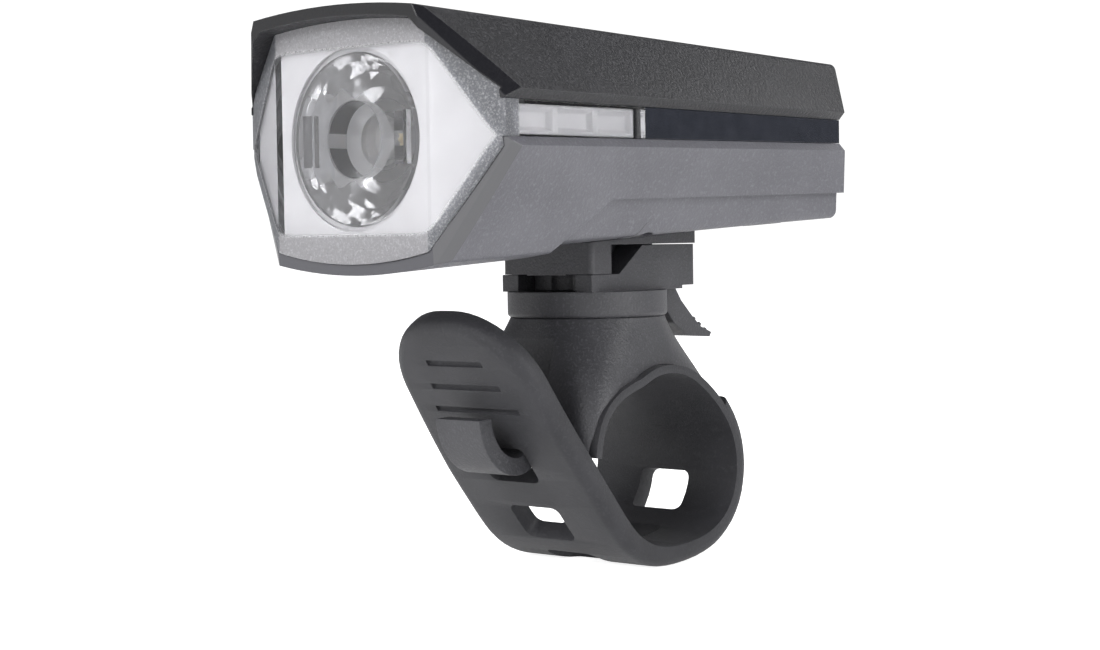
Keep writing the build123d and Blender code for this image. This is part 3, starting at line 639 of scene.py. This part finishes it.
def strap_rubber():
    """Satin black rubber with fine dust in its grain."""
    material, tree, shader = blank("strap_rubber_satin")
    patches = noise(tree, 7 * mm, 5.0)
    fine = noise(tree, 0.24 * mm, 3.0, 0.65)
    dust = noise(tree, 0.6 * mm, 6.0, 0.7)
    colour = blend(tree, spread(tree, patches, 0, 1), (0.02, 0.02, 0.023), (0.029, 0.029, 0.033))
    colour = blend(tree, spread(tree, dust, 0, 0.7, 0.52, 0.74), colour, (0.052, 0.052, 0.057))
    tree.links.new(colour, shader.inputs["Base Color"])
    tree.links.new(spread(tree, dust, 0.44, 0.6), shader.inputs["Roughness"])
    shader.inputs["Specular IOR Level"].default_value = 0.32
    shader.inputs["Sheen Weight"].default_value = 0.06
    shader.inputs["Sheen Roughness"].default_value = 0.5
    bumped(tree, shader, fine, 0.06 * mm)
    return material


def lens_plastic():
    """Clear lens whose border is etched to a fine frost; on the side facets the frost carries painted shade.
    """
    material, tree, shader = blank("lens_polycarbonate")
    place = axes(tree, "Object")
    front = spread(tree, place["Y"], 1, 0, lens_back - finish_edge, lens_back)
    frost = calculate(tree, "MULTIPLY", outside_bezel(tree, place), front)
    side = calculate(tree, "ABSOLUTE", place["X"])
    facet_shade = spread(tree, side, 0, 1, lens_flat_half - finish_edge, lens_flat_half)
    sparkle = noise(tree, 0.3 * mm, 3.0, 0.75)
    rough = calculate(tree, "MULTIPLY", frost, spread(tree, sparkle, 0.25, 0.6))
    tree.links.new(calculate(tree, "ADD", rough, 0.015), shader.inputs["Roughness"])
    # Past the flat front, the frost on the side facets is painted darker: painted shade.
    etched_and_shaded = blend(tree, facet_shade, (0.38, 0.375, 0.39), (0.15, 0.155, 0.17))
    etched_and_shaded = blend(tree, spread(tree, sparkle, 0, 0.6, 0.5, 0.72), etched_and_shaded, (0.8, 0.8, 0.83))
    tree.links.new(blend(tree, frost, (0.97, 0.97, 0.98), etched_and_shaded), shader.inputs["Base Color"])
    tree.links.new(spread(tree, frost, 1.0, 0.5, 0, 1), shader.inputs["Transmission Weight"])
    shader.inputs["IOR"].default_value = 1.45
    bumped(tree, shader, calculate(tree, "MULTIPLY", sparkle, frost), 0.03 * mm)
    return material


def outside_bezel(tree, place):
    """Mask of what lies outside the bezel's pointed outline, from X and Z."""
    side = calculate(tree, "ABSOLUTE", place["X"])
    rise = calculate(tree, "ABSOLUTE", calculate(tree, "SUBTRACT", place["Z"], optic_z - clear_drop))
    slope = (bezel_rise - bezel_point_rise) / (bezel_half - bezel_bend)
    above = calculate(tree, "SUBTRACT", rise, bezel_rise)
    past = calculate(tree, "SUBTRACT", side, bezel_half)
    oblique = calculate(tree, "ADD", calculate(tree, "MULTIPLY", past, slope), rise)
    oblique = calculate(tree, "SUBTRACT", oblique, bezel_point_rise)
    oblique = calculate(tree, "MULTIPLY", oblique, 1 / math.hypot(1, slope))
    corner = tree.nodes.new("ShaderNodeMath")
    corner.operation = "SMOOTH_MAX"
    tree.links.new(above, corner.inputs[0])
    tree.links.new(oblique, corner.inputs[1])
    corner.inputs[2].default_value = bezel_corner
    return spread(tree, corner.outputs[0], 0, 1, 0, frost_fade)


def optic_acrylic():
    """Clear moulded optic, faintly milky, with slight ripples."""
    material, tree, shader = blank("optic_acrylic_clear")
    ripple = noise(tree, 3.5 * mm, 1.0)
    tree.links.new(spread(tree, ripple, 0.0, 0.035), shader.inputs["Roughness"])
    shader.inputs["Base Color"].default_value = (0.97, 0.97, 0.98, 1)
    shader.inputs["Transmission Weight"].default_value = 0.93
    shader.inputs["IOR"].default_value = 1.49
    bumped(tree, shader, ripple, 0.05 * mm)
    return material


def lamp_board():
    """White board with a dark spot round the lamp."""
    material, tree, shader = blank("lamp_board_white")
    place = axes(tree, "Object")
    rise = calculate(tree, "SUBTRACT", place["Z"], optic_z)
    square = calculate(tree, "ADD", calculate(tree, "MULTIPLY", rise, rise),
                       calculate(tree, "MULTIPLY", place["X"], place["X"]))
    radius = calculate(tree, "SQRT", square)
    spot = spread(tree, radius, 1, 0, dark_spot_radius, dark_spot_radius + finish_edge)
    marks = noise(tree, 1.5 * mm, 4.0)
    white = blend(tree, spread(tree, marks, 0, 1), (0.78, 0.78, 0.78), (0.86, 0.86, 0.86))
    tree.links.new(blend(tree, spot, white, (0.03, 0.03, 0.028)), shader.inputs["Base Color"])
    tree.links.new(spread(tree, marks, 0.3, 0.45), shader.inputs["Roughness"])
    bumped(tree, shader, marks, 0.01 * mm)
    return material


def gloss_strip():
    """Piano-black side strip, faintly blue, with light polishing marks."""
    material, tree, shader = blank("strip_gloss_black")
    normal = rounded_edges(tree, polished_edge)[0]
    marks = noise(tree, 2.4 * mm, 6.0, 0.7)
    colour = blend(tree, spread(tree, marks, 0, 1), (0.009, 0.011, 0.017), (0.014, 0.016, 0.024))
    tree.links.new(colour, shader.inputs["Base Color"])
    tree.links.new(spread(tree, marks, 0.1, 0.2), shader.inputs["Roughness"])
    shader.inputs["Coat Weight"].default_value = 0.35
    shader.inputs["Coat Roughness"].default_value = 0.06
    bumped(tree, shader, marks, 0.004 * mm, normal)
    return material


def smooth_plastic(name, dark, light, roughness, grain):
    """Smooth moulded plastic with faint flow marks."""
    material, tree, shader = blank(name)
    normal = rounded_edges(tree, smooth_edge)[0]
    marks = noise(tree, grain, 4.0)
    tree.links.new(blend(tree, spread(tree, marks, 0, 1), dark, light), shader.inputs["Base Color"])
    tree.links.new(spread(tree, marks, *roughness), shader.inputs["Roughness"])
    bumped(tree, shader, marks, 0.01 * mm, normal)
    return material


def machined_metal(name, dark, light, roughness, grain):
    """Bare metal with fine tool marks."""
    material, tree, shader = blank(name)
    normal = rounded_edges(tree, metal_edge)[0]
    marks = noise(tree, grain, 5.0, 0.65)
    tree.links.new(blend(tree, spread(tree, marks, 0, 1), dark, light), shader.inputs["Base Color"])
    tree.links.new(spread(tree, marks, *roughness), shader.inputs["Roughness"])
    shader.inputs["Metallic"].default_value = 1.0
    bumped(tree, shader, marks, 0.008 * mm, normal)
    return material


finishes = {
    "housing_black": moulded_plastic("housing_grained_black", (0.011, 0.011, 0.0125), (0.015, 0.015, 0.0175),
                                     (0.05, 0.05, 0.055), (0.34, 0.58), 0.46 * mm, 0.14 * mm, True,
                                     (0.008, 0.008, 0.01)),
    # The grey housing's chamfer colour is lighter than its darkened glossy front: painted highlight.
    "housing_grey": moulded_plastic("housing_grained_grey", (0.088, 0.088, 0.1), (0.11, 0.11, 0.124),
                                    (0.17, 0.17, 0.187), (0.36, 0.6), 0.46 * mm, 0.14 * mm, True,
                                    (0.085, 0.085, 0.09)),
    "mount_black": moulded_plastic("mount_nylon_black", (0.03, 0.03, 0.034), (0.042, 0.042, 0.047),
                                   (0.08, 0.08, 0.088), (0.38, 0.58), 0.36 * mm, 0.09 * mm),
    "switch_black": smooth_plastic("switch_plastic_black", (0.02, 0.02, 0.022), (0.028, 0.028, 0.03),
                                   (0.35, 0.5), 2 * mm),
    "button_rubber": moulded_plastic("button_silicone", (0.03, 0.03, 0.033), (0.038, 0.038, 0.042),
                                     (0.06, 0.06, 0.065), (0.5, 0.66), 0.2 * mm, 0.02 * mm),
    "cover_rubber": moulded_plastic("port_cover_rubber", (0.028, 0.028, 0.031), (0.037, 0.037, 0.041),
                                    (0.06, 0.06, 0.065), (0.5, 0.66), 0.2 * mm, 0.02 * mm),
    "strap_rubber": strap_rubber(),
    "lens_clear": lens_plastic(),
    "strip_gloss": gloss_strip(),
    "bezel_white": smooth_plastic("bezel_satin_white", (0.74, 0.735, 0.75), (0.79, 0.785, 0.8),
                                  (0.3, 0.42), 4 * mm),
    "optic_clear": optic_acrylic(),
    "board_white": lamp_board(),
    "led_yellow": smooth_plastic("lamp_phosphor_yellow", (0.85, 0.6, 0.08), (0.9, 0.68, 0.14),
                                 (0.45, 0.6), 0.3 * mm),
    "sink_metal": machined_metal("sink_aluminium", (0.62, 0.63, 0.65), (0.72, 0.73, 0.75),
                                 (0.3, 0.45), 0.5 * mm),
    "cell_wrap": smooth_plastic("cell_wrap_film", (0.05, 0.11, 0.3), (0.07, 0.14, 0.36),
                                (0.3, 0.45), 5 * mm),
    "board_green": smooth_plastic("board_resin_green", (0.02, 0.16, 0.06), (0.03, 0.2, 0.08),
                                  (0.3, 0.45), 1.2 * mm),
    "socket_metal": machined_metal("socket_steel", (0.6, 0.6, 0.6), (0.7, 0.7, 0.69),
                                   (0.22, 0.35), 0.6 * mm),
    "screw_steel": machined_metal("screw_zinc_steel", (0.5, 0.5, 0.5), (0.62, 0.62, 0.6),
                                  (0.28, 0.42), 0.35 * mm),
}


def dress(piece, slot):
    """Gives a new piece its finish."""
    piece.data.materials.clear()
    piece.data.materials.append(finishes[slot])


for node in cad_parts.values():
    for index, old in enumerate(list(node.data.materials)):
        node.data.materials[index] = finishes[old.name.split(".")[0]]


# Camera

def view_camera():
    """Camera at the photograph's place, turned, dipped and rolled as it was."""
    turn = math.radians(camera_turn)
    drop = math.radians(camera_drop)
    roll = math.radians(camera_roll)
    ahead = Vector((-math.sin(turn) * math.cos(drop), math.cos(turn) * math.cos(drop), -math.sin(drop)))
    level = Vector((math.cos(turn), math.sin(turn), 0))
    above = level.cross(ahead)
    right = level * math.cos(roll) + above * math.sin(roll)
    up = right.cross(ahead)
    bpy.ops.object.camera_add()
    camera = bpy.context.active_object
    camera.name = "photo_camera"
    camera.data.lens = camera_lens
    camera.data.sensor_width = camera_sensor
    camera.data.clip_start = camera_clip[0]
    camera.data.clip_end = camera_clip[1]
    camera.matrix_world = Matrix.Translation(camera_place) @ Matrix((right, up, -ahead)).transposed().to_4x4()
    bpy.context.scene.camera = camera


# Studio

def softbox(name, place, target, size, power):
    """Rectangular lamp that points at a place."""
    bpy.ops.object.light_add(type="AREA", location=place)
    lamp = bpy.context.active_object
    lamp.name = name
    lamp.data.shape = "RECTANGLE"
    lamp.data.size = size[0]
    lamp.data.size_y = size[1]
    lamp.data.energy = power
    lamp.rotation_euler = (Vector(target) - Vector(place)).to_track_quat("-Z", "Y").to_euler()


def studio_floor():
    """Pale paper floor just under the strap, lit enough to meet the white behind it without an edge."""
    clear_selection()
    low = cad_box[0][2] - floor_gap
    bpy.ops.mesh.primitive_plane_add(size=floor_size, location=(0, 0, low))
    floor = start_piece("studio_floor")
    bpy.ops.object.transform_apply(location=True, rotation=True, scale=True)
    material, tree, shader = blank("studio_paper")
    fibres = noise(tree, 30 * mm, 3.0)
    tree.links.new(blend(tree, fibres, (0.9, 0.9, 0.9), (0.93, 0.93, 0.93)), shader.inputs["Base Color"])
    shader.inputs["Roughness"].default_value = 0.8
    shader.inputs["Specular IOR Level"].default_value = 0.1
    shader.inputs["Emission Color"].default_value = (1, 1, 1, 1)
    seen = tree.nodes.new("ShaderNodeLightPath")
    glow = spread(tree, seen.outputs["Is Camera Ray"], floor_glow, floor_glow_seen, 0, 1)
    tree.links.new(glow, shader.inputs["Emission Strength"])
    floor.data.materials.append(material)


def studio_sky():
    """White to the camera; to the object a soft gradient that is bright ahead of the lamp."""
    world = bpy.data.worlds.new("studio_sky")
    bpy.context.scene.world = world
    world.use_nodes = True
    tree = world.node_tree
    soft = tree.nodes["Background"]
    white = tree.nodes.new("ShaderNodeBackground")
    white.inputs["Color"].default_value = (1, 1, 1, 1)
    white.inputs["Strength"].default_value = sky_strength_seen
    toward = axes(tree, "Generated")
    ramp = tree.nodes.new("ShaderNodeValToRGB")
    ramp.color_ramp.elements[0].position = 0.0
    ramp.color_ramp.elements[0].color = (*sky_level, 1)
    ramp.color_ramp.elements[1].position = 0.5
    ramp.color_ramp.elements[1].color = (*sky_above, 1)
    tree.links.new(toward["Z"], ramp.inputs["Fac"])
    ahead = spread(tree, calculate(tree, "SUBTRACT", 0.0, toward["Y"]), 0, 1, 0.25, 0.75)
    tree.links.new(blend(tree, ahead, ramp.outputs["Color"], sky_ahead), soft.inputs["Color"])
    soft.inputs["Strength"].default_value = sky_strength
    seen = tree.nodes.new("ShaderNodeLightPath")
    mix = tree.nodes.new("ShaderNodeMixShader")
    tree.links.new(seen.outputs["Is Camera Ray"], mix.inputs[0])
    tree.links.new(soft.outputs[0], mix.inputs[1])
    tree.links.new(white.outputs[0], mix.inputs[2])
    tree.links.new(mix.outputs[0], tree.nodes["World Output"].inputs["Surface"])


# Assembly

strap_piece = rubber_strap()
dress(strap_piece, "strap_rubber")
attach(strap_piece, "saddle")
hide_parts("strap")
for number, ridge in enumerate(lever_ridges()):
    ridge.name = f"lever_ridge_{number}"
    dress(ridge, "mount_black")
    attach(ridge, "lever")

surround = lens_surround()
dress(surround, "bezel_white")
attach(surround, "head")
# Dark shells in the optic's hollow: painted reflection.
sleeve = painted_reflection_sleeve()
dress(sleeve, "strip_gloss")
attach(sleeve, "head")
for side in (-1, 1):
    guide = window_guide(side)
    guide.name = "window_guide_left" if side < 0 else "window_guide_right"
    dress(guide, "bezel_white")
    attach(guide, "head")

view_camera()
studio_floor()
studio_sky()
for name, setting in studio_lights.items():
    softbox(name, *setting)
bpy.context.scene.view_settings.view_transform = "Standard"
